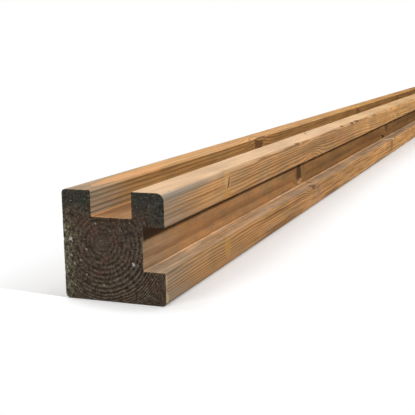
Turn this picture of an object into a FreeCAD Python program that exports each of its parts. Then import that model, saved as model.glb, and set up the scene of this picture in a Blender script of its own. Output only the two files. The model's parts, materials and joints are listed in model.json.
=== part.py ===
import FreeCAD, Part
import os

# Slotted timber corner fence post, lying on its side, in millimetres.
# The length runs along Y.  One slot is in the top face (+Z) and one in the
# right face (+X); the left face and the underside are plain.
# Origin: middle of the face the post lies on, so the wood fills z from 0 up.

SECTION_WIDTH = 95.0       # left face to right face
SECTION_HEIGHT = 95.0      # underside to top face
POST_LENGTH = 2100.0       # sawn end to sawn end

TOP_SLOT_FROM_LEFT = 27.5  # thickness of the limb left of the top slot
TOP_SLOT_WIDTH = 38.0
TOP_SLOT_DEPTH = 22.5

SIDE_SLOT_FROM_TOP = 29.0  # thickness of the limb above the side slot
SIDE_SLOT_HEIGHT = 37.5
SIDE_SLOT_DEPTH = 20.0

SLOTTED_ARRIS_RADIUS = 7.0    # rounded edge between the two slotted faces
TOP_LEFT_RADIUS = 3.5
BOTTOM_LEFT_RADIUS = 4.0
BOTTOM_RIGHT_RADIUS = 3.5
SLOT_MOUTH_RADIUS = 1.0       # slightly eased edges where a slot meets a face
SLOT_ROOT_RADIUS = 0.8        # small round the cutter leaves in a slot's inner corner


def section_corners():
    """Corners of the cross-section, anticlockwise seen from the near end: x, z and rounding."""
    left = -SECTION_WIDTH / 2
    right = SECTION_WIDTH / 2
    top = SECTION_HEIGHT
    top_slot_left = left + TOP_SLOT_FROM_LEFT
    top_slot_right = top_slot_left + TOP_SLOT_WIDTH
    top_slot_floor = top - TOP_SLOT_DEPTH
    side_slot_top = top - SIDE_SLOT_FROM_TOP
    side_slot_bottom = side_slot_top - SIDE_SLOT_HEIGHT
    side_slot_back = right - SIDE_SLOT_DEPTH
    return [
        (left, 0.0, BOTTOM_LEFT_RADIUS),
        (right, 0.0, BOTTOM_RIGHT_RADIUS),
        (right, side_slot_bottom, SLOT_MOUTH_RADIUS),
        (side_slot_back, side_slot_bottom, SLOT_ROOT_RADIUS),
        (side_slot_back, side_slot_top, SLOT_ROOT_RADIUS),
        (right, side_slot_top, SLOT_MOUTH_RADIUS),
        (right, top, SLOTTED_ARRIS_RADIUS),
        (top_slot_right, top, SLOT_MOUTH_RADIUS),
        (top_slot_right, top_slot_floor, SLOT_ROOT_RADIUS),
        (top_slot_left, top_slot_floor, SLOT_ROOT_RADIUS),
        (top_slot_left, top, SLOT_MOUTH_RADIUS),
        (left, top, TOP_LEFT_RADIUS),
    ]


def rounded_corner(before, corner, after, radius):
    """Start, middle and end of the arc that rounds a corner."""
    towards_before = (before - corner).normalize()
    towards_after = (after - corner).normalize()
    # every corner is a right angle, so the arc starts and ends one radius away
    start = corner + towards_before * radius
    end = corner + towards_after * radius
    centre = corner + (towards_before + towards_after) * radius
    middle = centre + (corner - centre).normalize() * radius
    return start, middle, end


def section_face(y):
    """The cross-section as a flat face at one end of the post."""
    corners = section_corners()
    points = [FreeCAD.Vector(x, y, z) for x, z, _ in corners]
    arcs = []
    for i, point in enumerate(points):
        before = points[i - 1]
        after = points[(i + 1) % len(points)]
        arcs.append(rounded_corner(before, point, after, corners[i][2]))
    edges = []
    for i, (start, middle, end) in enumerate(arcs):
        next_start = arcs[(i + 1) % len(arcs)][0]
        edges.append(Part.Arc(start, middle, end).toShape())
        edges.append(Part.LineSegment(end, next_start).toShape())
    return Part.Face(Part.Wire(edges))


def slotted_post():
    face = section_face(-POST_LENGTH / 2)
    post = face.extrude(FreeCAD.Vector(0, POST_LENGTH, 0))
    if post.Volume < 0:
        post.reverse()
    return post


os.makedirs("parts", exist_ok=True)
post = slotted_post()
post.exportStep("parts/slotted_post.step")
box = post.BoundBox
print("valid", post.isValid(), "solids", len(post.Solids), "volume mm3", round(post.Volume, 1))
print("x", round(box.XMin, 3), round(box.XMax, 3), "y", round(box.YMin, 3), round(box.YMax, 3),
      "z", round(box.ZMin, 3), round(box.ZMax, 3))
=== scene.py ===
import json
import math
import random

import bmesh
import bpy
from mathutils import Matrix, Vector
from mathutils.geometry import delaunay_2d_cdt


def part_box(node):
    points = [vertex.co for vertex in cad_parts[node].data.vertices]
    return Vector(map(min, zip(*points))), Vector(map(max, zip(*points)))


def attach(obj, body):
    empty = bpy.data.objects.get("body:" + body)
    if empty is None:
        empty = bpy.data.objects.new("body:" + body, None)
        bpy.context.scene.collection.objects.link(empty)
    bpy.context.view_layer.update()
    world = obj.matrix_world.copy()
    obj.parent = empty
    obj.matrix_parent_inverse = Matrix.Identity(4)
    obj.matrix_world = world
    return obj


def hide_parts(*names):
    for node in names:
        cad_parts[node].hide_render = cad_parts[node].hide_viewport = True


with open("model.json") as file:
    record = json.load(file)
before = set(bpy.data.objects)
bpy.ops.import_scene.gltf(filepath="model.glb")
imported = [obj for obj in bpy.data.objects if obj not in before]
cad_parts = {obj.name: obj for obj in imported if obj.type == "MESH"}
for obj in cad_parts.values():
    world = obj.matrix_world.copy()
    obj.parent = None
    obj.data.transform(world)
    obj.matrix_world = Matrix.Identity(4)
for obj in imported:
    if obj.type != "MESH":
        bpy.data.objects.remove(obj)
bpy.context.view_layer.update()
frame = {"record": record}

# A planed, pressure-treated softwood corner post with a slot in its top face and one in its
# right face.  The wood is one solid pattern: growth rings round a pith that runs the length of
# the post, with knots that leave the pith as cones.  The same knots, cracks and rings shape the
# surface and colour it, so they meet at every edge.

NODE = "slotted_post"
LOW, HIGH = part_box(NODE)
MM = 0.001

# sizes in millimetres, measured from the near end, the middle of the width and the underside
WIDTH = (HIGH.x - LOW.x) / MM
HEIGHT = (HIGH.z - LOW.z) / MM
LENGTH = (HIGH.y - LOW.y) / MM
HALF = WIDTH / 2
SLOT_BOXES = {o["name"]: o["box_m"] for o in frame["record"]["physics"]["openings"]}
SLOT_BOX_CLEARANCE = 0.3     # each stated slot box stands this far off the slot's walls
MOUTH_RADIUS = 1.0
ROOT_RADIUS = 0.8
SLOTTED_ARRIS_RADIUS = 7.0
TOP_LEFT_RADIUS = 3.5
BOTTOM_LEFT_RADIUS = 4.0
BOTTOM_RIGHT_RADIUS = 3.5

PITH_X = -10.6
PITH_Z = 50.3
INNER_RING_WIDTH = 4.0       # width of a year's growth near the pith
SLOW_GROWTH_FROM = 40.0      # beyond this radius the rings get steadily narrower
SLOW_GROWTH = 0.0085

SIDE_STEP = 1.9              # spacing of the mesh round the section
ARC_STEP = 1.3               # and round its corners
END_GRAIN_STEP = 1.05        # spacing over the near end, which is looked at closely
FAR_END_STEP = 1.6
END_FACE_SEED = 5
SCATTER = 0.15               # how far an end face's points stray, as a share of their spacing
NEAR_STATIONS = [0.5, 1.6, 3.2, 5.2, 7.6, 10.5, 14.0, 18.0, 23.0, 29.0, 36.0, 44.0]
STATION_STEP = 8.0           # spacing along the post, wider beyond STATION_STEP_UNTIL
FAR_STATION_STEP = 10.0
STATION_STEP_UNTIL = 700
EASED_END = 0.35             # width of the eased edge round each sawn end
KNOT_EDGE = 2.2              # longest mesh edge left round a knot, a short split and a long one
SHORT_SPLIT_EDGE = 0.9
LONG_SPLIT_EDGE = 2.5
LONG_SPLIT = 60
BIN = 50                     # zones to refine are looked up by the stretch of post they lie in
REFINE_ROUNDS = 4

FLOOR_HALF = 30.0            # in metres, as are the next two
FLOOR_DROP = 0.0002          # how far the floor lies under the post
SHADOW_ENDS = (0.06, 0.17)   # the shadow fades out this far from the post's middle line
SHADED_GREY = 0.93           # the floor as the camera sees it, and as it lights the post
BOUNCE_GREY = 0.12
WORLD_LIGHT = 0.05

# Lamps: name, place, the point it faces, size (all in metres) and power in watts.
LAMPS = [
    ("overhead softbox", (-0.75, -0.2, 2.5), (0.0, 0.0, 0.0), (1.6, 4.0), 76.0),
    ("right softbox", (3.0, -1.3, 1.95), (0.0, -0.3, 0.0), (0.3, 0.3), 112.0),
    ("front softbox", (-1.0, -3.2, 1.0), (0.0, -0.9, 0.0), (1.2, 1.2), 32.0),
]

CAMERA_PLACE = (375.3, -613.5, 204.55)     # from the near end's lower left corner
CAMERA_TURN, CAMERA_DOWN, CAMERA_ROLL = 21.546, 10.228, -0.998     # degrees
LENS = 73.505
SENSOR = 36.0

SOAKED_SPRING, SOAKED_SUMMER = "8d8374", "5f5a4e"     # wood greyed by the treatment


# ---------------------------------------------------------------- the section and its corners

def slot_walls(name):
    low, high = SLOT_BOXES[name]
    gap = SLOT_BOX_CLEARANCE
    return (low[0] / MM - gap, high[0] / MM + gap, low[2] / MM - gap, high[2] / MM + gap)


TOP_SLOT_LEFT, TOP_SLOT_RIGHT, TOP_SLOT_FLOOR, _ = slot_walls("top_slot")
SIDE_SLOT_BACK, _, SIDE_SLOT_BOTTOM, SIDE_SLOT_TOP = slot_walls("side_slot")


def section_corners():
    """Corners of the section, anticlockwise seen from the near end: x, z and rounding."""
    return [
        (-HALF, 0.0, BOTTOM_LEFT_RADIUS),
        (HALF, 0.0, BOTTOM_RIGHT_RADIUS),
        (HALF, SIDE_SLOT_BOTTOM, MOUTH_RADIUS),
        (SIDE_SLOT_BACK, SIDE_SLOT_BOTTOM, ROOT_RADIUS),
        (SIDE_SLOT_BACK, SIDE_SLOT_TOP, ROOT_RADIUS),
        (HALF, SIDE_SLOT_TOP, MOUTH_RADIUS),
        (HALF, HEIGHT, SLOTTED_ARRIS_RADIUS),
        (TOP_SLOT_RIGHT, HEIGHT, MOUTH_RADIUS),
        (TOP_SLOT_RIGHT, TOP_SLOT_FLOOR, ROOT_RADIUS),
        (TOP_SLOT_LEFT, TOP_SLOT_FLOOR, ROOT_RADIUS),
        (TOP_SLOT_LEFT, HEIGHT, MOUTH_RADIUS),
        (-HALF, HEIGHT, TOP_LEFT_RADIUS),
    ]


def section_outline(step):
    """Points round the section, evenly spaced along its flats and closer round its corners."""
    corners = [(Vector((x, z)), radius) for x, z, radius in section_corners()]
    arcs = []
    for i, (corner, radius) in enumerate(corners):
        before = (corners[i - 1][0] - corner).normalized()
        after = (corners[(i + 1) % len(corners)][0] - corner).normalized()
        centre = corner + (before + after) * radius
        pieces = max(3, math.ceil(radius * math.pi / 2 / ARC_STEP))
        arc = []
        for k in range(pieces + 1):
            turn = k / pieces * math.pi / 2
            arc.append(centre - after * radius * math.cos(turn) - before * radius * math.sin(turn))
        arcs.append(arc)
    points = []
    for i, arc in enumerate(arcs):
        points += arc
        start, end = arc[-1], arcs[(i + 1) % len(arcs)][0]
        pieces = max(1, round((end - start).length / step))
        points += [start.lerp(end, k / pieces) for k in range(1, pieces)]
    return points


# ------------------------------------------------------------------- knots, cracks and chips

# Each knot: distance from the near end, direction from the pith in degrees (0 = right, 90 = up),
# distance from the pith at which its radius is given, radius, darkness, push on the rings, and
# the distances from the pith between which its wood shows (the tree grew over the dead ones).
KNOTS = [
    (149, 26.6, 64, 12.5, 0.03, 0.3, 40, 200),
    (150, -28.6, 66, 9.5, 0.03, 0.3, 52, 200),
    (146, 148.0, 50, 9.0, 0.45, 4.0, 0, 200),
    (155, 236.0, 60, 8.0, 0.60, 4.0, 0, 200),
    (485, -5.0, 39, 12.0, 0.95, 7.0, 0, 200),
    (458, 103.0, 40, 19.0, 0.85, 5.0, 0, 44),
    (515, -28.0, 67, 5.5, 0.60, 2.5, 45, 200),
    (476, 188.0, 40, 12.0, 0.55, 5.0, 0, 200),
    (492, 262.0, 52, 10.0, 0.70, 5.0, 0, 200),
    (866, 104.0, 40, 7.0, 0.40, 2.0, 0, 44),
    (872, 205.0, 40, 8.0, 0.50, 3.0, 0, 200),
    (1158, 23.9, 64, 9.0, 0.10, 3.0, 45, 200),
    (1125, -25.2, 65, 13.0, 0.45, 4.0, 50, 200),
    (1174, -3.9, 39, 9.0, 0.85, 4.0, 0, 200),
    (1112, 102.0, 40, 20.0, 0.75, 5.0, 0, 44),
    (1140, 172.0, 38, 12.0, 0.50, 5.0, 0, 200),
    (1165, 248.0, 54, 13.0, 0.60, 5.0, 0, 200),
    (1614, 101.0, 42, 18.0, 0.75, 5.0, 0, 44),
    (1630, 18.0, 60, 12.0, 0.55, 5.0, 0, 200),
    (1602, 200.0, 40, 13.0, 0.60, 5.0, 0, 200),
    (1622, 276.0, 50, 11.0, 0.50, 4.0, 0, 200),
    (1806, 102.0, 42, 11.0, 0.60, 3.0, 0, 44),
    (1960, -26.0, 64, 12.0, 0.55, 5.0, 0, 200),
    (1948, 155.0, 45, 11.0, 0.65, 5.0, 0, 200),
    (1955, 255.0, 52, 12.0, 0.55, 5.0, 0, 200),
]
KNOT_LEAN = 0.12             # branches lean this much towards the top of the tree

# Each crack, hole or chip: its two ends as (from the near end, x, z), half width, depth, and the
# direction its face looks in degrees.
SPLITS = [
    ((158.0, 47.5, 87.5), (151.0, 47.5, 75.0), 1.7, 2.6, 0),
    ((518.0, 28.6, 95.0), (542.0, 19.4, 95.0), 1.0, 1.4, 90),
    ((105.0, 29.0, 28.6), (109.0, 29.0, 28.4), 1.5, 3.0, 90),
    ((1120.0, 27.5, 36.0), (1150.0, 27.5, 29.5), 3.2, 3.0, 0),
    ((401.0, 45.5, 93.2), (420.0, 45.8, 92.9), 1.8, 0.8, 45),
    ((657.0, 45.0, 93.5), (677.0, 45.3, 93.2), 1.8, 1.0, 45),
    ((727.0, 45.6, 93.0), (748.0, 45.9, 92.7), 2.0, 1.2, 45),
    ((758.0, 45.0, 93.5), (792.0, 46.0, 92.6), 2.2, 1.1, 45),
    ((449.0, -20.6, 94.8), (486.0, -20.6, 94.8), 1.6, 1.0, 45),
    ((560.0, -47.5, 61.0), (905.0, -47.5, 58.0), 0.7, 2.2, 180),
    ((1290.0, -47.5, 44.0), (1545.0, -47.5, 47.0), 0.6, 1.8, 180),
    ((300.0, 6.0, 0.0), (690.0, 3.5, 0.0), 0.7, 2.2, 270),
    ((1750.0, -14.0, 0.0), (2040.0, -10.0, 0.0), 0.7, 2.0, 270),
]

# Patches of differently coloured wood on the planed faces: two ends, half width, colour, strength.
PATCHES = [
    ((143.0, 47.5, 71.0), (155.0, 47.5, 71.0), 5.0, "c08a44", 0.65),
    ((146.0, 47.5, 82.0), (154.0, 47.5, 82.0), 7.0, "cfa878", 0.45),
    ((147.0, 47.5, 20.0), (156.0, 47.5, 17.0), 7.5, "bf8840", 0.60),
    ((1.0, 47.5, 27.0), (2.5, 47.5, 17.0), 2.6, "cdb98f", 0.45),
    ((0.5, 47.5, 12.0), (4.0, 47.5, 3.0), 3.4, "c9b98a", 0.50),
    ((25.0, -30.0, 95.0), (170.0, -27.0, 95.0), 8.0, "d89c6a", 0.55),
    ((10.0, -44.0, 95.0), (260.0, -44.5, 95.0), 3.0, "a39a8c", 0.55),
    ((0.0, -38.0, 95.0), (26.0, -34.0, 95.0), 4.0, "7d7566", 0.55),
    ((76.0, 34.0, 28.5), (120.0, 31.0, 28.5), 2.2, "e6c8a0", 0.75),
    ((20.0, 41.0, 28.5), (95.0, 44.0, 28.5), 2.0, "dfc29c", 0.55),
    ((150.0, 42.0, 28.5), (290.0, 44.0, 28.5), 2.0, "e0bd8e", 0.50),
    ((500.0, 27.5, 54.0), (501.0, 27.5, 40.0), 4.0, "857848", 0.75),
    ((480.0, 27.5, 33.5), (497.0, 27.5, 34.5), 4.5, "c7a177", 0.55),
    ((503.0, 47.5, 12.0), (530.0, 47.5, 20.0), 8.0, "c48d6c", 0.55),
    ((620.0, 47.5, 80.0), (700.0, 47.5, 77.0), 9.0, "b37c5a", 0.45),
    ((870.0, 27.5, 44.0), (1120.0, 27.5, 42.0), 10.0, "82501e", 0.25),
    ((1150.0, 47.5, 75.0), (1166.0, 47.5, 75.0), 5.5, "dfbf92", 0.85),
    ((1066.0, 47.5, 27.0), (1114.0, 47.5, 27.0), 5.5, "d09064", 0.75),
    ((1108.0, 33.0, 28.5), (1150.0, 45.0, 28.5), 6.5, "fbe0ba", 0.95),
    ((1125.0, 27.5, 56.0), (1140.0, 27.5, 50.0), 5.0, "c09468", 0.60),
]

# Loose fibres and grit on the near end: x, z, radius and colour.
FLECKS = [
    (-40.3, 52.3, 3.3, "f0ece0"), (-25.8, 43.8, 1.4, "d6d0be"), (18.6, 33.8, 2.3, "e4e4e2"),
    (-26.4, 22.0, 1.2, "d2ccb6"), (-15.8, 66.6, 1.1, "cfc9b8"), (-9.7, 13.8, 1.1, "cdbf9a"),
    (-31.2, 34.2, 1.3, "b4b096"), (-40.2, 37.8, 1.5, "d0ceb6"), (-37.4, 30.6, 1.8, "c6c6aa"),
    (22.8, 7.4, 1.2, "c08a58"), (-38.0, 12.0, 1.4, "b9b88e"), (-29.6, 47.0, 0.9, "b8b29c"),
]


def knot_frame(knot):
    """Where a knot's axis leaves the pith, its direction, and its spread per millimetre."""
    place, angle, reach, radius = knot[:4]
    turn = math.radians(angle)
    direction = Vector((math.cos(turn), KNOT_LEAN, math.sin(turn))).normalized()
    root = Vector((PITH_X, place - KNOT_LEAN * reach, PITH_Z))
    return root, direction, radius / reach


def knot_surface_point(knot):
    root, direction, _ = knot_frame(knot)
    return root + direction * knot[2]


# ----------------------------------------------------------------------------- node building

class Tree:
    """Adds nodes to one node tree, shader or geometry, and joins them up."""

    def __init__(self, tree):
        self.tree = tree
        self.column = 0

    def node(self, kind, **settings):
        node = self.tree.nodes.new(kind)
        for name, value in settings.items():
            setattr(node, name, value)
        node.location = (self.column % 40 * 180, -(self.column // 40) * 260)
        self.column += 1
        return node

    def feed(self, socket, value):
        if isinstance(value, bpy.types.NodeSocket):
            self.tree.links.new(value, socket)
        elif value is not None:
            socket.default_value = value

    def math(self, operation, a, b=None, c=None, clamp=False):
        node = self.node("ShaderNodeMath", operation=operation)
        for socket, value in zip(node.inputs, (a, b, c)):
            self.feed(socket, value)
        if clamp:
            return self.math("MAXIMUM", self.math("MINIMUM", node.outputs[0], 1.0), 0.0)
        return node.outputs[0]

    def add(self, a, b):
        return self.math("ADD", a, b)

    def times(self, a, b):
        return self.math("MULTIPLY", a, b)

    def vector(self, operation, a, b=None, scale=None):
        node = self.node("ShaderNodeVectorMath", operation=operation)
        self.feed(node.inputs[0], a)
        self.feed(node.inputs[1], b)
        if scale is not None:
            self.feed(node.inputs["Scale"], scale)
        return node.outputs["Value" if operation in {"LENGTH", "DOT_PRODUCT"} else "Vector"]

    def split(self, point):
        return self.node_outputs("ShaderNodeSeparateXYZ", point)

    def node_outputs(self, kind, value):
        node = self.node(kind)
        self.feed(node.inputs[0], value)
        return tuple(node.outputs)

    def join(self, x, y, z):
        node = self.node("ShaderNodeCombineXYZ")
        for socket, value in zip(node.inputs, (x, y, z)):
            self.feed(socket, value)
        return node.outputs[0]

    def noise(self, point, stretch, detail=2.0, roughness=0.5, shift=0.0):
        """Noise whose grain is stretch millimetres long along x, y and z."""
        scaled = self.vector("MULTIPLY", point, tuple(1.0 / s for s in stretch))
        moved = self.vector("ADD", scaled, (shift, shift * 1.7, shift * 0.6))
        node = self.node("ShaderNodeTexNoise")
        self.feed(node.inputs["Vector"], moved)
        self.feed(node.inputs["Scale"], 1.0)
        self.feed(node.inputs["Detail"], detail)
        self.feed(node.inputs["Roughness"], roughness)
        return node.outputs[0]

    def step(self, value, low, high):
        """0 below low, 1 above high and a smooth rise between; low may be the larger."""
        if low > high:
            return self.math("SUBTRACT", 1.0, self.step(value, high, low))
        node = self.node("ShaderNodeMapRange", interpolation_type="SMOOTHSTEP")
        self.feed(node.inputs["Value"], value)
        self.feed(node.inputs["From Min"], low)
        self.feed(node.inputs["From Max"], high)
        return node.outputs["Result"]

    def blend(self, a, b, share, kind="MIX"):
        node = self.node("ShaderNodeMix", data_type="RGBA", blend_type=kind)
        self.feed(node.inputs[0], share)
        self.feed(node.inputs[6], a)
        self.feed(node.inputs[7], b)
        return node.outputs[2]


def colour(code):
    """A colour written as six hex digits, as the renderer wants it."""
    parts = [int(code[i:i + 2], 16) / 255 for i in (0, 2, 4)]
    linear = [c / 12.92 if c <= 0.04045 else ((c + 0.055) / 1.055) ** 2.4 for c in parts]
    return (*linear, 1.0)


def new_group(name, kind, inputs, outputs):
    """An empty node group, with its sockets as (name, sort), its Tree and its inputs by name."""
    tree = bpy.data.node_groups.new(name, kind)
    for direction, sockets in (("INPUT", inputs), ("OUTPUT", outputs)):
        for label, sort in sockets:
            tree.interface.new_socket(label, in_out=direction, socket_type="NodeSocket" + sort)
    t = Tree(tree)
    return t, t.node("NodeGroupInput").outputs


def close_group(t, results):
    out = t.node("NodeGroupOutput")
    for label, value in results.items():
        t.feed(out.inputs[label], value)
    return t.tree


KNOT_SUMS = ("Push", "Cover", "Dark", "Rim", "Own ring")
# Shade: painted shade in the hollow of each crack, hole or chip
SPLIT_SUMS = ("Depth", "Shade")


def knot_group(kind):
    """One knot: a cone from the pith, added to the sums of the knots before it."""
    facts = [(name, "Vector") for name in ("Point", "Root", "Direction")]
    facts += [(name, "Float") for name in ("Spread", "From", "To", "Darkness", "Swelling")]
    sums = [(name, "Float") for name in KNOT_SUMS]
    t, given = new_group("knot", kind, facts + sums, sums)
    offset = t.vector("SUBTRACT", given["Point"], given["Root"])
    along = t.vector("DOT_PRODUCT", offset, given["Direction"])
    foot = t.vector("SCALE", given["Direction"], scale=along)
    apart = t.vector("LENGTH", t.vector("SUBTRACT", offset, foot))
    radius = t.math("MAXIMUM", t.times(along, given["Spread"]), 0.05)
    share = t.math("DIVIDE", apart, radius)
    shown = t.times(t.math("MULTIPLY", t.math("SUBTRACT", along, given["From"]), 0.3, clamp=True),
                    t.math("MULTIPLY", t.math("SUBTRACT", given["To"], along), 0.5, clamp=True))
    inside = t.times(t.step(share, 1.12, 0.86), shown)
    edge = t.step(t.math("ABSOLUTE", t.math("SUBTRACT", share, 1.04)), 0.20, 0.02)
    swell = t.math("EXPONENT", t.times(t.times(share, share), -0.30))
    strength = t.math("MULTIPLY_ADD", given["Darkness"], 0.9, 0.1)
    return close_group(t, {
        "Push": t.math("MULTIPLY_ADD", swell, given["Swelling"], given["Push"]),
        "Cover": t.math("MAXIMUM", given["Cover"], inside),
        "Dark": t.math("MAXIMUM", given["Dark"], t.times(inside, given["Darkness"])),
        "Rim": t.math("MAXIMUM", given["Rim"], t.times(t.times(edge, strength), shown)),
        "Own ring": t.math("MULTIPLY_ADD", inside, apart, given["Own ring"]),
    })


def line_share(t, given):
    """Distance from a line as a share of its half width, which narrows to the line's two ends."""
    offset = t.vector("SUBTRACT", given["Point"], given["Start"])
    whole = t.vector("DOT_PRODUCT", given["Run"], given["Run"])
    along = t.math("DIVIDE", t.vector("DOT_PRODUCT", offset, given["Run"]), whole, clamp=True)
    foot = t.vector("SCALE", given["Run"], scale=along)
    apart = t.vector("LENGTH", t.vector("SUBTRACT", offset, foot))
    middle = t.math("SUBTRACT", 1.0, t.math("ABSOLUTE", t.math("MULTIPLY_ADD", along, 2.0, -1.0)))
    width = t.math("MULTIPLY_ADD", t.step(middle, 0.0, 0.5), 0.6, 0.4)
    return t.math("DIVIDE", apart, t.times(given["Half width"], width))


LINE = [("Point", "Vector"), ("Start", "Vector"), ("Run", "Vector"), ("Half width", "Float")]


def split_group(kind):
    """One crack, hole or chip, added to those before it; its Shade is painted shade, as dark at its
    bottom as at its lips.
    """
    sums = [(name, "Float") for name in SPLIT_SUMS]
    extra = [("Facing", "Vector"), ("Deep", "Float")]
    t, given = new_group("split", kind, LINE + extra + sums, sums)
    offset = t.vector("SUBTRACT", given["Point"], given["Start"])
    sunk = t.vector("DOT_PRODUCT", offset, given["Facing"])
    back = t.vector("SCALE", given["Facing"], scale=t.times(sunk, 0.85))
    flat = t.vector("SUBTRACT", given["Point"], back)
    share = line_share(t, {**{name: given[name] for name, _ in LINE}, "Point": flat})
    gap = t.step(share, 1.0, 0.35)
    # painted shade inside the split, darker the deeper it is cut
    darkness = t.math("MULTIPLY_ADD", given["Deep"], 0.22, 0.45, clamp=True)
    shade = t.times(t.step(share, 1.1, 0.7), darkness)
    return close_group(t, {
        "Depth": t.math("MAXIMUM", given["Depth"], t.times(gap, given["Deep"])),
        "Shade": t.math("MAXIMUM", given["Shade"], shade),
    })


def patch_group():
    """One soft-edged patch of another colour laid over the colour so far."""
    extra = [("Wood", "Color"), ("Colour", "Color"), ("Strength", "Float")]
    t, given = new_group("patch", "ShaderNodeTree", LINE + extra, [("Wood", "Color")])
    share = t.times(t.step(line_share(t, given), 1.25, 0.55), given["Strength"])
    return close_group(t, {"Wood": t.blend(given["Wood"], given["Colour"], share)})


def run_of(start, end):
    """The two ends of a line, each (from the near end, x, z), as its start point and its run."""
    a, b = Vector((start[1], start[0], start[2])), Vector((end[1], end[0], end[2]))
    return a, b - a


def use_group(t, tree, values):
    """A group node in a tree with its inputs filled in, returned as its outputs by name."""
    kind = "GeometryNodeGroup" if t.tree.bl_idname == "GeometryNodeTree" else "ShaderNodeGroup"
    node = t.node(kind, node_tree=tree)
    for label, value in values.items():
        t.feed(node.inputs[label], value)
    return node.outputs


# Shade is the painted shade of the cracks, holes and chips
WOOD = ("Radius", "Ring", "Summer", "Cover", "Dark", "Rim", "Knot ring", "Depth", "Shade", "Torn")


def growth_group(kind):
    """The wood at a point: all that the colour and the relief are made from."""
    t, given = new_group("growth", kind, [("Point", "Vector")], [(name, "Float") for name in WOOD])
    point = given["Point"]
    x, y, z = t.split(point)
    from_end = t.step(y, 0.0, 260.0)
    line = t.join(0.0, y, 0.0)
    sway_x = t.times(t.add(t.noise(line, (400, 400, 400), detail=1.0, shift=3.1), -0.5), from_end)
    sway_z = t.times(t.add(t.noise(line, (430, 430, 430), detail=1.0, shift=8.4), -0.5), from_end)
    dx = t.math("SUBTRACT", x, t.math("MULTIPLY_ADD", sway_x, 6.0, PITH_X))
    dz = t.math("SUBTRACT", z, t.math("MULTIPLY_ADD", sway_z, 6.0, PITH_Z))
    radius = t.math("SQRT", t.add(t.times(dx, dx), t.times(dz, dz)))
    jitter_x = t.add(t.noise(point, (7, 9, 7), shift=2.2), -0.5)
    jitter_z = t.add(t.noise(point, (7, 9, 7), shift=9.7), -0.5)
    uneven = t.vector("ADD", point, t.join(t.times(jitter_x, 4.0), t.times(jitter_z, 6.0),
                                           t.times(jitter_x, -4.0)))

    # the knots, and how far they push the rings outwards
    knots = {name: 0.0 for name in KNOT_SUMS}
    knot_tree = knot_group(kind)
    for knot in KNOTS:
        root, direction, spread = knot_frame(knot)
        knots = use_group(t, knot_tree, {
            "Point": uneven, "Root": root, "Direction": direction, "Spread": spread,
            "From": knot[6], "To": knot[7], "Darkness": knot[4], "Swelling": knot[5],
            **{name: knots[name] for name in KNOT_SUMS}})

    # rings: wide near the pith, closer together further out, uneven along the post
    wobble = t.add(t.noise(point, (34, 260, 34), detail=1.0, shift=5.0), -0.5)
    ripple = t.add(t.noise(point, (8, 70, 8), detail=2.0, shift=1.3), -0.5)
    even = t.math("MULTIPLY_ADD", wobble, 2.4, radius)
    even = t.math("MULTIPLY_ADD", ripple, 1.1, even)
    even = t.math("SUBTRACT", even, knots["Push"])
    slow = t.math("MAXIMUM", t.math("SUBTRACT", even, SLOW_GROWTH_FROM), 0.0)
    years = t.math("DIVIDE", t.math("MAXIMUM", even, 0.0), INNER_RING_WIDTH)
    years = t.math("MULTIPLY_ADD", t.times(slow, slow), SLOW_GROWTH, years)
    ring = t.math("FRACT", years)
    year = t.math("FLOOR", years)
    summer = t.times(t.step(ring, 0.40, 0.84), t.step(ring, 1.0, 0.92))
    vary = t.noise(t.join(t.times(year, 7.3), t.times(y, 0.004), 0.0), (1, 1, 1), detail=0.0)
    summer = t.times(summer, t.math("MULTIPLY_ADD", vary, 1.3, 0.4, clamp=True))

    splits = {name: 0.0 for name in SPLIT_SUMS}
    split_tree = split_group(kind)
    ragged = t.vector("ADD", point, t.join(t.times(jitter_x, 1.6), t.times(jitter_z, 3.0),
                                           t.times(jitter_z, 1.6)))
    for start, end, half_width, deep, facing in SPLITS:
        a, run = run_of(start, end)
        turn = math.radians(facing)
        splits = use_group(t, split_tree, {
            "Point": ragged, "Start": a, "Run": run, "Half width": half_width, "Deep": deep,
            "Facing": (math.cos(turn), 0.0, math.sin(turn)),
            **{name: splits[name] for name in SPLIT_SUMS}})

    # fibres torn out by the saw down the left of the near end
    left = t.times(t.step(x, -36.0, -46.0), t.times(t.step(z, 76.0, 55.0), t.step(z, 2.0, 16.0)))
    tuft = t.noise(point, (2.6, 6.0, 3.4), detail=3.0, roughness=0.7, shift=27.0)
    torn = t.times(t.times(left, t.step(tuft, 0.50, 0.62)), t.step(y, 6.0, 1.5))
    return close_group(t, {
        "Radius": radius, "Ring": ring, "Summer": summer,
        "Cover": knots["Cover"], "Dark": knots["Dark"], "Rim": knots["Rim"],
        "Knot ring": t.math("PINGPONG", knots["Own ring"], 0.9),
        "Depth": splits["Depth"], "Shade": splits["Shade"], "Torn": torn,
    })


# --------------------------------------------------------------------------------- materials

def new_material(name):
    """An empty material with the wood's pattern in it and the point in millimetres."""
    material = bpy.data.materials.new(name)
    material.use_nodes = True
    material.node_tree.nodes.clear()
    t = Tree(material.node_tree)
    place = t.node("ShaderNodeTexCoord").outputs["Object"]
    point = t.vector("SCALE", t.vector("SUBTRACT", place, (0.0, LOW.y, 0.0)), scale=1 / MM)
    return material, t, point, use_group(t, WOOD_PATTERN, {"Point": point})


def finish_material(t, base, roughness, height, bump_mm, strength):
    shader = t.node("ShaderNodeBsdfPrincipled")
    t.feed(shader.inputs["Base Color"], base)
    t.feed(shader.inputs["Roughness"], roughness)
    shader.inputs["Specular IOR Level"].default_value = 0.3
    bump = t.node("ShaderNodeBump")
    bump.inputs["Distance"].default_value = bump_mm * MM
    bump.inputs["Strength"].default_value = strength
    t.feed(bump.inputs["Height"], height)
    t.feed(shader.inputs["Normal"], bump.outputs["Normal"])
    output = t.node("ShaderNodeOutputMaterial")
    t.feed(output.inputs["Surface"], shader.outputs["BSDF"])


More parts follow.
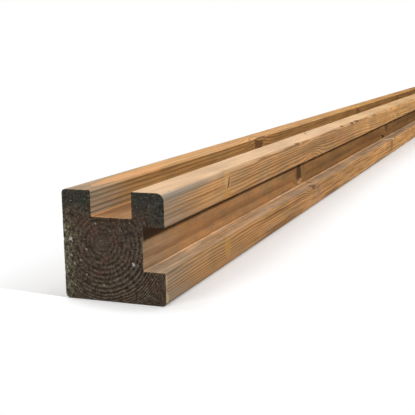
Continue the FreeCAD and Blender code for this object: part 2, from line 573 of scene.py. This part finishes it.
# The wood of each planed part: its name, spring colour, summer colour and ring contrast.
PLANED_PARTS = [
    ("right face", "c29566", "7c542b", 0.88),
    ("left top", "c69a6a", "9d744a", 0.9),
    ("right top", "cfae8b", "bd9872", 0.6),
    ("side slot", "ad8052", "865933", 0.70),
    ("side slot floor", "dab792", "bd946c", 0.7),
    ("top slot", "9b7647", "664a2b", 0.9),
    ("top slot floor", "c09060", "a07048", 0.8),
]


def part_masks(t, x, z):
    """Which part of the planed post a point is on: a share from 0 to 1 for each part, by name."""
    on_top = t.step(z, HEIGHT - 3.4, HEIGHT - 0.7)
    left_top = t.times(on_top, t.step(x, 1.0, -1.0))
    right_top = t.times(on_top, t.step(x, -1.0, 1.0))
    between = t.times(t.step(z, SIDE_SLOT_BOTTOM - 1, SIDE_SLOT_BOTTOM - 0.4),
                      t.step(z, SIDE_SLOT_TOP + 1, SIDE_SLOT_TOP + 0.2))
    behind = t.times(t.step(x, SIDE_SLOT_BACK - 2, SIDE_SLOT_BACK - 1), between)
    side_slot = t.times(t.step(x, HALF - 0.6, HALF - 1.6), behind)
    side_floor = t.times(side_slot, t.step(z, SIDE_SLOT_BOTTOM + 0.8, SIDE_SLOT_BOTTOM + 0.3))
    below = t.times(t.step(x, TOP_SLOT_RIGHT + 0.5, TOP_SLOT_RIGHT + 0.1),
                    t.step(z, HEIGHT - 0.8, HEIGHT - 1.8))
    top_slot = t.times(t.step(x, TOP_SLOT_LEFT - 0.5, TOP_SLOT_LEFT - 0.1), below)
    top_floor = t.times(top_slot, t.step(z, TOP_SLOT_FLOOR + 1.2, TOP_SLOT_FLOOR + 0.4))
    rounded = t.times(t.step(z, HEIGHT - 8.0, HEIGHT - 5.0), t.step(z, HEIGHT - 0.5, HEIGHT - 2.4))
    arris = t.times(t.step(x, HALF - 7.0, HALF - 4.0), rounded)
    right_face = t.step(x, HALF - 1.8, HALF - 0.8)
    return {"top": on_top, "left top": left_top, "right top": right_top, "side slot": side_slot,
            "side slot floor": side_floor, "top slot": top_slot, "top slot floor": top_floor,
            "arris": arris, "right face": right_face}


def planed_timber():
    material, t, point, g = new_material("planed treated softwood")
    x, y, z = t.split(point)
    fibre = t.noise(point, (0.9, 32, 0.9), detail=3.0, roughness=0.65, shift=4.0)
    lines = t.noise(point, (1.5, 420, 1.5), detail=2.0, roughness=0.6, shift=23.0)
    streak = t.noise(point, (3.0, 130, 3.0), detail=2.0, shift=6.5)
    patch = t.noise(point, (26, 120, 26), detail=2.0, shift=12.0)
    blotch = t.noise(point, (14, 38, 14), detail=2.0, shift=31.0)
    speck = t.noise(point, (1.6, 5, 1.6), detail=2.0, shift=15.0)

    # growth rings and finer lines along the grain, in each part's own colours
    part = part_masks(t, x, z)
    upper_near = t.times(t.step(z, 44.0, 58.0), t.step(y, 260.0, 60.0))
    calm = t.math("MULTIPLY_ADD", t.times(part["right face"], upper_near), -0.30, 0.85)
    fine = t.step(lines, 0.48, 0.36)
    grain = t.math("MULTIPLY_ADD", fine, 0.40, t.times(g["Summer"], calm), clamp=True)
    base = t.blend(colour("bd9164"), colour("895c34"), grain)
    for name, spring, summer, contrast in PLANED_PARTS:
        wood = t.blend(colour(spring), colour(summer), t.times(grain, contrast))
        base = t.blend(base, wood, part[name])
    warm = t.step(blotch, 0.35, 0.65)
    tint = t.math("MULTIPLY_ADD", part["right top"], -0.75, 1.0)
    hue = t.blend((0.91, 0.93, 0.94, 1.0), (1.10, 1.03, 0.92, 1.0), warm)
    base = t.blend(base, hue, tint, "MULTIPLY")
    light = t.math("MULTIPLY_ADD", t.step(patch, 0.3, 0.7), 0.22, 0.89)
    base = t.blend(base, t.join(light, light, light), 1.0, "MULTIPLY")

    # further along the post the right face is paler, the side slot darker and the top yellower
    along = t.step(y, 450.0, 1250.0)
    base = t.blend(base, (1.62, 1.60, 1.44, 1.0), t.times(along, part["right face"]), "MULTIPLY")
    slot_walls_only = t.math("SUBTRACT", part["side slot"], part["side slot floor"])
    darker = t.times(t.step(y, 260.0, 620.0), slot_walls_only)
    base = t.blend(base, (0.69, 0.66, 0.54, 1.0), darker, "MULTIPLY")
    base = t.blend(base, (1.0, 0.94, 0.76, 1.0), t.times(along, part["top"]), "MULTIPLY")
    mottle = t.noise(point, (5.0, 13.0, 5.0), detail=3.0, roughness=0.6, shift=41.0)
    mottle = t.times(t.step(mottle, 0.40, 0.62), part["side slot"])
    base = t.blend(base, (0.84, 0.91, 1.03, 1.0), t.times(mottle, 0.9), "MULTIPLY")

    # broad darker stripes low on the right face, on the slot's floor and in the top slot
    broad = t.noise(point, (3.4, 150.0, 3.4), detail=2.0, roughness=0.6, shift=52.0)
    low = t.times(part["right face"], t.step(z, 36.0, 24.0))
    low = t.times(low, t.step(y, 120.0, 320.0))
    slots = t.math("MAXIMUM", t.times(part["side slot floor"], 0.7), t.times(part["top slot"], 0.5))
    stripe = t.blend((1.12, 1.12, 1.12, 1.0), (0.72, 0.66, 0.58, 1.0), t.step(broad, 0.48, 0.60))
    base = t.blend(base, stripe, t.math("MAXIMUM", low, slots), "MULTIPLY")

    # the sawn ends drew in more of the treatment: grey, streaked wood for a hand's breadth
    grey = t.blend(colour(SOAKED_SPRING), colour(SOAKED_SUMMER), grain)
    reach = t.math("MULTIPLY_ADD", streak, -110.0, t.math("MULTIPLY_ADD", blotch, -60.0, y))
    soaked = t.step(reach, 10.0, -75.0)
    near = t.step(y, 70.0, 0.0)
    soaked = t.math("MAXIMUM", soaked, t.times(near, t.step(lines, 0.46, 0.56)))
    spared = t.math("MAXIMUM", part["top slot floor"], t.times(part["side slot"], 0.45))
    spared = t.math("MAXIMUM", part["right top"], spared)
    soaked = t.times(soaked, t.math("MULTIPLY_ADD", spared, -0.9, 1.0))
    base = t.blend(base, grey, t.times(soaked, 0.62))
    far_soaked = t.step(t.math("MULTIPLY_ADD", streak, 90.0, y), LENGTH - 30.0, LENGTH + 30.0)
    base = t.blend(base, grey, t.times(far_soaked, 0.5))
    fading = t.math("MULTIPLY_ADD", t.step(y, 190.0, 60.0), 0.85, 0.08)
    silver = t.blend(colour("958d80"), colour("6c6457"), t.step(lines, 0.42, 0.58))
    base = t.blend(base, silver, t.times(t.times(part["arris"], fading), 0.8))

    # knots: amber or dark wood with their own fine rings and a dark seam round them
    amber = t.blend(colour("c79a60"), colour("9a6c38"), t.times(grain, 0.7))
    dark = t.blend(colour("5f3a1c"), colour("32190a"), t.step(g["Knot ring"], 0.4, 0.8))
    knot_wood = t.blend(amber, dark, t.math("MULTIPLY", g["Dark"], 1.1, clamp=True))
    cover = t.times(g["Cover"], t.math("MULTIPLY_ADD", g["Dark"], 0.4, 0.55, clamp=True))
    base = t.blend(base, knot_wood, cover)
    base = t.blend(base, colour("3f2411"), t.times(g["Rim"], 0.55))
    patch_tree = patch_group()
    loose = t.vector("ADD", point, t.join(0.0, t.math("MULTIPLY_ADD", fibre, 8.0, -4.0),
                                          t.math("MULTIPLY_ADD", lines, 5.0, -2.5)))
    for start, end, half_width, code, strength in PATCHES:
        a, run = run_of(start, end)
        base = use_group(t, patch_tree, {
            "Point": loose, "Start": a, "Run": run, "Half width": half_width,
            "Wood": base, "Colour": colour(code), "Strength": strength})["Wood"]

    # fibres, flecks, and painted shade in the cracks, holes and chips
    tone = t.math("MULTIPLY_ADD", fibre, 0.64, 0.68)
    tone = t.times(tone, t.math("MULTIPLY_ADD", streak, 0.34, 0.83))
    tone = t.times(tone, t.math("MULTIPLY_ADD", t.step(speck, 0.66, 0.76), -0.20, 1.0))
    base = t.blend(base, t.join(tone, tone, tone), 1.0, "MULTIPLY")
    # painted shade: the inside of each crack, hole and chip darkened
    base = t.blend(base, colour("241208"), t.times(g["Shade"], 0.95))

    height = t.math("MULTIPLY_ADD", grain, 0.5, t.times(fibre, 0.55))
    height = t.math("MULTIPLY_ADD", g["Rim"], -0.7, height)
    roughness = t.math("MULTIPLY_ADD", grain, -0.08, t.math("MULTIPLY_ADD", fibre, 0.15, 0.70))
    finish_material(t, base, roughness, height, 0.22, 0.6)
    return material


def sawn_end_grain():
    material, t, point, g = new_material("sawn end grain")
    x, _, z = t.split(point)
    fuzz = t.noise(point, (1.7, 3.0, 1.7), detail=4.0, roughness=0.75, shift=2.0)
    clump = t.noise(point, (4.5, 8.0, 4.5), detail=2.0, roughness=0.6, shift=7.0)
    cloud = t.noise(point, (17, 30, 17), detail=2.0, shift=11.0)
    fleck = t.noise(point, (1.5, 3, 1.5), detail=1.0, shift=21.0)

    # brown heart, green-black ears where the treatment went deepest, a damp band under the slot
    base = t.blend(colour("4a3d32"), colour("66574a"), t.step(clump, 0.36, 0.64))
    base = t.blend(base, colour("65463a"), t.times(t.step(cloud, 0.50, 0.64), 0.55))
    ears = t.step(t.math("MULTIPLY_ADD", cloud, 26.0, z), 84.0, 100.0)
    right = t.times(t.step(x, 22.0, 42.0), t.step(z, 60.0, 74.0))
    green = t.times(t.math("MAXIMUM", ears, right), t.step(clump, 0.30, 0.58))
    base = t.blend(base, colour("37443c"), t.times(green, 0.75))
    under_slot = t.times(t.step(x, TOP_SLOT_LEFT - 3.0, TOP_SLOT_LEFT),
                         t.step(x, TOP_SLOT_RIGHT + 2.0, TOP_SLOT_RIGHT))
    damp = t.times(t.step(z, TOP_SLOT_FLOOR - 7.0, TOP_SLOT_FLOOR - 2.0), under_slot)
    base = t.blend(base, colour("4a3423"), t.times(damp, 0.7))
    left = t.times(t.step(x, -28.0, -46.0), t.step(z, 84.0, 56.0))
    base = t.blend(base, colour("767355"), t.times(left, t.step(clump, 0.42, 0.62)))

    # rings: pale spring wood and dark summer wood, clearest below and to the right of the pith
    across = t.math("MULTIPLY_ADD", t.math("SUBTRACT", x, z), 0.014, 1.10, clamp=True)
    inner = t.times(t.step(g["Radius"], 34.0, 24.0), 0.42)
    across = t.math("MAXIMUM", t.times(across, t.step(z, 80.0, 66.0)), inner)
    clear = t.times(across, t.step(t.math("MULTIPLY_ADD", fuzz, 0.5, clump), 0.42, 0.72))
    pale_ring = t.times(t.step(g["Ring"], 0.10, 0.35), t.step(g["Ring"], 0.62, 0.48))
    base = t.blend(base, colour("85745c"), t.times(t.times(pale_ring, clear), 0.60))
    summer = t.times(g["Summer"], t.math("MAXIMUM", across, 0.25))
    base = t.blend(base, colour("241c15"), t.times(summer, 0.70))
    heart = t.step(g["Radius"], 8.5, 3.0)
    base = t.blend(base, colour("64544a"), t.times(heart, 0.75))

    # broken fibres
    calm = t.math("MULTIPLY_ADD", t.step(g["Radius"], 12.0, 5.0), -0.5, 1.0)
    tone = t.math("MULTIPLY_ADD", t.times(t.add(fuzz, -0.5), calm), 5.0, 1.02)
    tone = t.math("MAXIMUM", tone, 0.22)
    base = t.blend(base, t.join(tone, tone, tone), 1.0, "MULTIPLY")
    pale = t.step(t.math("MULTIPLY_ADD", left, 0.07, fleck), 0.69, 0.76)
    base = t.blend(base, colour("b7ad93"), t.times(pale, 0.85))
    torn = t.blend(colour("8f8c6d"), colour("d9d3bf"), t.step(fuzz, 0.42, 0.62))
    base = t.blend(base, torn, g["Torn"])
    patch_tree = patch_group()
    ragged = t.vector("ADD", point, t.join(t.math("MULTIPLY_ADD", fuzz, 4.0, -2.0), 0.0, 0.0))
    for spot_x, spot_z, radius, code in FLECKS:
        base = use_group(t, patch_tree, {
            "Point": ragged, "Start": (spot_x - 0.4, 0.0, spot_z - 0.3), "Run": (0.8, 0.0, 0.6),
            "Half width": radius,
            "Wood": base, "Colour": colour(code), "Strength": 0.85})["Wood"]
    # painted shade in any crack, hole or chip that reaches the end
    base = t.blend(base, colour("120d09"), t.times(g["Shade"], 0.8))
    height = t.math("MULTIPLY_ADD", fuzz, 1.4, t.times(pale_ring, 0.3))
    finish_material(t, base, 0.92, height, 0.9, 0.8)
    return material


# ------------------------------------------------------------------------- the post's surface

def stations():
    """Distances from the near end at which the section is set out."""
    places = list(NEAR_STATIONS)
    while places[-1] < LENGTH - 12.0:
        step = STATION_STEP if places[-1] < STATION_STEP_UNTIL else FAR_STATION_STEP
        places.append(places[-1] + step)
    places = [p for p in places if p < LENGTH - 8.0]
    return places + [LENGTH - 5.0, LENGTH - 2.0, LENGTH - 0.5]


def end_face(bm, rim, y, step, faces_far):
    """Fills one sawn end with triangles of about one size, inside the ring of vertices rim."""
    points = [Vector((v.co.x, v.co.z)) for v in rim]
    count = len(points)
    scatter = random.Random(END_FACE_SEED)
    row = 0
    z = step
    while z < HEIGHT - step * 0.5:
        x = -HALF + step * (1.0 if row % 2 else 0.5)
        while x < HALF - step * 0.4:
            spot = Vector((x, z))
            stray = (scatter.uniform(-SCATTER, SCATTER), scatter.uniform(-SCATTER, SCATTER))
            spot += Vector(stray) * step
            if inside_section(spot, step * 0.55):
                points.append(spot)
            x += step
        row += 1
        z += step * 0.866
    result = delaunay_2d_cdt(points, [], [list(range(count))], 1, 1e-6)
    flat, _, triangles, origins = result[0], result[1], result[2], result[3]
    made = []
    for spot, origin in zip(flat, origins):
        first = [o for o in origin if o < count]
        made.append(rim[first[0]] if first else bm.verts.new((spot.x, y, spot.y)))
    for triangle in triangles:
        corners = [made[i] for i in triangle]
        if len(set(corners)) < 3:
            continue
        a, b, c = (v.co for v in corners)
        faces_viewer = (b - a).cross(c - a).y < 0
        if faces_viewer == faces_far:
            corners.reverse()
        bm.faces.new(corners)


def inside_section(spot, margin):
    """True where a point of an end face is wood, at least margin in from its edge."""
    x, z = spot
    if not (-HALF + margin < x < HALF - margin and margin < z < HEIGHT - margin):
        return False
    in_top = TOP_SLOT_LEFT - margin < x < TOP_SLOT_RIGHT + margin and z > TOP_SLOT_FLOOR - margin
    in_side = SIDE_SLOT_BOTTOM - margin < z < SIDE_SLOT_TOP + margin and x > SIDE_SLOT_BACK - margin
    if in_top or in_side:
        return False
    for cx, cz, radius in section_corners():
        if radius < 2:
            continue
        inner = Vector((cx - math.copysign(radius, cx), cz + (radius if cz < 1 else -radius)))
        out = Vector((x, z)) - inner
        if out.x * cx > 0 and out.y * (cz - 1) > 0 and out.length > radius - margin:
            return False
    return True


def fine_zones():
    """Places that need a closer mesh: middle, reach each way and longest edge left there."""
    zones = []
    for knot in KNOTS:
        size = knot[3] * 1.15 + 2
        zones.append((knot_surface_point(knot), Vector((size, size, size)), KNOT_EDGE))
    for start, end, half_width, _, _ in SPLITS:
        a, run = run_of(start, end)
        margin = half_width * 1.3 + 0.6
        reach = Vector([abs(c) / 2 + margin for c in run])
        longest = SHORT_SPLIT_EDGE if run.length < LONG_SPLIT else LONG_SPLIT_EDGE
        zones.append((a + run / 2, reach, longest))
    return zones


def refine(bm):
    """Splits the long edges round the knots, cracks and chips, a half at a time."""
    by_place = {}
    for middle, reach, longest in fine_zones():
        first, last = (int((middle.y + side * reach.y) // BIN) for side in (-1, 1))
        for bin_number in range(first, last + 1):
            by_place.setdefault(bin_number, []).append((middle, reach, longest))
    for _ in range(REFINE_ROUNDS):
        edges = []
        for edge in bm.edges:
            a, b = edge.verts[0].co, edge.verts[1].co
            middle = (a + b) / 2
            length = (a - b).length
            for centre, reach, longest in by_place.get(int(middle.y // BIN), ()):
                if length > longest and all(abs(m) < r for m, r in zip(middle - centre, reach)):
                    edges.append(edge)
                    break
        bmesh.ops.subdivide_edges(bm, edges=edges, cuts=1, use_grid_fill=True)


def plain_post():
    """The post before its relief, in millimetres, with its two ends and eased end arrises."""
    outline = section_outline(SIDE_STEP)
    bm = bmesh.new()
    rings = []
    for place in stations():
        rings.append([bm.verts.new((p.x, place, p.y)) for p in outline])
    count = len(outline)
    for near, far in zip(rings, rings[1:]):
        for j in range(count):
            k = (j + 1) % count
            bm.faces.new((near[j], far[j], far[k], near[k]))
    for ring, y, step, far in ((rings[0], 0.0, END_GRAIN_STEP, False),
                               (rings[-1], LENGTH, FAR_END_STEP, True)):
        # a narrow eased edge, then the end face itself
        inner = []
        for i, v in enumerate(ring):
            along = (ring[(i + 1) % count].co - ring[i - 1].co).normalized()
            inward = Vector((-along.z, along.x)) * EASED_END
            inner.append(bm.verts.new((v.co.x + inward.x, y, v.co.z + inward.y)))
        for j in range(count):
            k = (j + 1) % count
            corners = (ring[j], ring[k], inner[k], inner[j])
            bm.faces.new(corners if not far else tuple(reversed(corners)))
        end_face(bm, inner, y, step, far)
    refine(bm)
    bmesh.ops.triangulate(bm, faces=[f for f in bm.faces if len(f.verts) > 3])
    return bm


def relief_tree():
    """Geometry nodes that cut the knots, cracks, chips and sawn grain into the plain post."""
    tree = bpy.data.node_groups.new("timber relief", "GeometryNodeTree")
    sockets = tree.interface
    sockets.new_socket("Geometry", in_out="INPUT", socket_type="NodeSocketGeometry")
    sizes = {"Split depth": 1.0, "Knot seam mm": 0.5, "Hollow mm": 0.18, "Sawn grain mm": 0.5}
    for name, value in sizes.items():
        socket = sockets.new_socket(name, in_out="INPUT", socket_type="NodeSocketFloat")
        socket.default_value = value
    for name in ("Planed", "Sawn"):
        sockets.new_socket(name, in_out="INPUT", socket_type="NodeSocketMaterial")
    sockets.new_socket("Geometry", in_out="OUTPUT", socket_type="NodeSocketGeometry")
    t = Tree(tree)
    given = t.node("NodeGroupInput").outputs
    place = t.node("GeometryNodeInputPosition").outputs[0]
    point = t.vector("SCALE", t.vector("SUBTRACT", place, (0.0, LOW.y, 0.0)), scale=1 / MM)
    x, _, z = t.split(point)
    g = use_group(t, growth_group("GeometryNodeTree"), {"Point": point})
    hollow = t.times(t.noise(point, (30, 80, 30), detail=1.0, shift=17.0), given["Hollow mm"])
    seam = t.times(g["Rim"], given["Knot seam mm"])
    cut = t.times(g["Depth"], given["Split depth"])
    sawn = t.node("GeometryNodeInputNamedAttribute", data_type="FLOAT")
    sawn.inputs["Name"].default_value = "sawn"
    end = sawn.outputs["Attribute"]
    fuzz = t.noise(point, (1.8, 6, 1.8), detail=3.0, roughness=0.7, shift=2.0)
    kerf = t.math("SINE", t.math("MULTIPLY_ADD", x, 0.9, t.times(z, 1.7)))
    rings = t.math("SUBTRACT", 1.0, g["Summer"])
    rough = t.add(t.times(fuzz, 0.9), t.add(t.times(kerf, 0.05), t.times(rings, 0.35)))
    rough = t.times(t.times(rough, given["Sawn grain mm"]), end)
    rough = t.math("MULTIPLY_ADD", g["Torn"], 0.5, rough)
    depth = t.add(t.add(hollow, seam), t.add(cut, rough))
    normal = t.node("GeometryNodeInputNormal").outputs[0]
    move = t.vector("SCALE", normal, scale=t.times(depth, -MM))
    shift = t.node("GeometryNodeSetPosition")
    t.feed(shift.inputs["Geometry"], given["Geometry"])
    t.feed(shift.inputs["Offset"], move)
    real = t.node("GeometryNodeRealizeInstances")
    t.feed(real.inputs["Geometry"], shift.outputs[0])
    planed = t.node("GeometryNodeSetMaterial")
    t.feed(planed.inputs["Geometry"], real.outputs[0])
    t.feed(planed.inputs["Material"], given["Planed"])
    is_end = t.node("GeometryNodeInputNamedAttribute", data_type="BOOLEAN")
    is_end.inputs["Name"].default_value = "end_face"
    ends = t.node("GeometryNodeSetMaterial")
    t.feed(ends.inputs["Geometry"], planed.outputs[0])
    t.feed(ends.inputs["Selection"], is_end.outputs["Attribute"])
    t.feed(ends.inputs["Material"], given["Sawn"])
    out = t.node("NodeGroupOutput")
    t.feed(out.inputs[0], ends.outputs[0])
    return tree


def timber_post():
    bm = plain_post()
    for v in bm.verts:
        v.co = Vector((v.co.x * MM, v.co.y * MM + LOW.y, v.co.z * MM))
    mesh = bpy.data.meshes.new("post timber")
    bm.to_mesh(mesh)
    bm.free()
    mesh.shade_smooth()
    edge, rim = 0.2 * MM, 0.4 * MM
    sawn = mesh.attributes.new("sawn", "FLOAT", "POINT")
    for i, v in enumerate(mesh.vertices):
        sawn.data[i].value = 1.0 if v.co.y < LOW.y + edge or v.co.y > HIGH.y - edge else 0.0
    ends = mesh.attributes.new("end_face", "BOOLEAN", "FACE")
    for i, polygon in enumerate(mesh.polygons):
        ends.data[i].value = not LOW.y + rim <= polygon.center.y <= HIGH.y - rim
    plain = bpy.data.objects.new("plain post", mesh)
    bpy.context.scene.collection.objects.link(plain)
    relief = plain.modifiers.new("relief", "NODES")
    relief.node_group = relief_tree()
    for item in relief.node_group.interface.items_tree:
        if item.in_out == "INPUT" and item.name in ("Planed", "Sawn"):
            relief[item.identifier] = MATERIALS[item.name]
    settled = plain.evaluated_get(bpy.context.evaluated_depsgraph_get())
    finished = bpy.data.meshes.new_from_object(settled)
    finished.name = "timber"
    for name in ("sawn", "end_face"):
        layer = finished.attributes.get(name)
        if layer:
            finished.attributes.remove(layer)
    post = bpy.data.objects.new("timber_post", finished)
    bpy.context.scene.collection.objects.link(post)
    bpy.data.objects.remove(plain)
    return post


# --------------------------------------------------------------------- floor, lamps and camera

def pale_floor():
    """A white floor that keeps the post's soft shadow near it and runs out to plain white."""
    material = bpy.data.materials.new("pale floor")
    material.use_nodes = True
    material.node_tree.nodes.clear()
    t = Tree(material.node_tree)
    x, y, _ = t.split(t.node("ShaderNodeTexCoord").outputs["Object"])
    beyond = t.math("SUBTRACT", t.math("ABSOLUTE", y), LENGTH / 2 * MM)
    beyond = t.math("MAXIMUM", beyond, 0.0)
    away = t.math("SQRT", t.add(t.times(x, x), t.times(beyond, beyond)))
    shader = t.node("ShaderNodeBsdfPrincipled")
    shader.inputs["Roughness"].default_value = 0.9
    shader.inputs["Specular IOR Level"].default_value = 0.1
    white = t.node("ShaderNodeEmission")
    white.inputs["Color"].default_value = (1.0, 1.0, 1.0, 1.0)
    camera_ray = t.node("ShaderNodeLightPath").outputs["Is Camera Ray"]
    bounce, shaded = ((level, level, level, 1.0) for level in (BOUNCE_GREY, SHADED_GREY))
    t.feed(shader.inputs["Base Color"], t.blend(bounce, shaded, camera_ray))
    seen = t.times(camera_ray, t.step(away, *SHADOW_ENDS))
    mixed = t.node("ShaderNodeMixShader")
    t.feed(mixed.inputs[0], seen)
    t.feed(mixed.inputs[1], shader.outputs[0])
    t.feed(mixed.inputs[2], white.outputs[0])
    output = t.node("ShaderNodeOutputMaterial")
    t.feed(output.inputs["Surface"], mixed.outputs[0])
    mesh = bpy.data.meshes.new("floor")
    around = ((-1, -1), (1, -1), (1, 1), (-1, 1))
    corners = [(x * FLOOR_HALF, y * FLOOR_HALF, LOW.z - FLOOR_DROP) for x, y in around]
    mesh.from_pydata(corners, [], [(0, 1, 2, 3)])
    floor = bpy.data.objects.new("floor", mesh)
    bpy.context.scene.collection.objects.link(floor)
    mesh.materials.append(material)


def lamp(name, place, aim, size, power):
    light = bpy.data.lights.new(name, "AREA")
    light.shape = "RECTANGLE"
    light.size, light.size_y = size
    light.energy = power
    lamp_object = bpy.data.objects.new(name, light)
    lamp_object.location = place
    lamp_object.rotation_euler = (Vector(aim) - Vector(place)).to_track_quat("-Z", "Y").to_euler()
    bpy.context.scene.collection.objects.link(lamp_object)


def studio():
    """A little light from all round, plain white behind the post, and the lamps."""
    world = bpy.data.worlds.new("studio")
    bpy.context.scene.world = world
    world.use_nodes = True
    world.node_tree.nodes.clear()
    t = Tree(world.node_tree)
    path = t.node("ShaderNodeLightPath").outputs["Is Camera Ray"]
    soft = t.node("ShaderNodeBackground")
    soft.inputs["Color"].default_value = (1.0, 1.0, 1.0, 1.0)
    soft.inputs["Strength"].default_value = WORLD_LIGHT
    white = t.node("ShaderNodeBackground")
    white.inputs["Color"].default_value = (1.0, 1.0, 1.0, 1.0)
    mixed = t.node("ShaderNodeMixShader")
    t.feed(mixed.inputs[0], path)
    t.feed(mixed.inputs[1], soft.outputs[0])
    t.feed(mixed.inputs[2], white.outputs[0])
    output = t.node("ShaderNodeOutputWorld")
    t.feed(output.inputs["Surface"], mixed.outputs[0])
    for row in LAMPS:
        lamp(*row)


def camera():
    """Stands off the near end's right corner and looks back along the post, a little down."""
    turn, down, roll = (math.radians(a) for a in (CAMERA_TURN, CAMERA_DOWN, CAMERA_ROLL))
    data = bpy.data.cameras.new("camera")
    data.lens = LENS
    data.sensor_width = SENSOR
    data.clip_start = 0.02
    view = bpy.data.objects.new("camera", data)
    level_forward = Vector((-math.sin(turn), math.cos(turn), 0.0))
    forward = level_forward * math.cos(down) - Vector((0.0, 0.0, math.sin(down)))
    right = Vector((math.cos(turn), math.sin(turn), 0.0))
    up = right.cross(forward)
    level_right = right * math.cos(roll) + up * math.sin(roll)
    level_up = up * math.cos(roll) - right * math.sin(roll)
    axes = [level_right, level_up, -forward]
    matrix = view.matrix_world.copy()
    for i, axis in enumerate(axes):
        for j in range(3):
            matrix[j][i] = axis[j]
    view.matrix_world = matrix
    view.location = Vector((LOW.x, LOW.y, LOW.z)) + Vector(CAMERA_PLACE) * MM
    bpy.context.scene.collection.objects.link(view)
    bpy.context.scene.camera = view


WOOD_PATTERN = growth_group("ShaderNodeTree")
MATERIALS = {"Planed": planed_timber(), "Sawn": sawn_end_grain()}
post = timber_post()
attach(post, "root")
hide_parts(NODE)
pale_floor()
studio()
camera()
bpy.context.scene.view_settings.view_transform = "Standard"
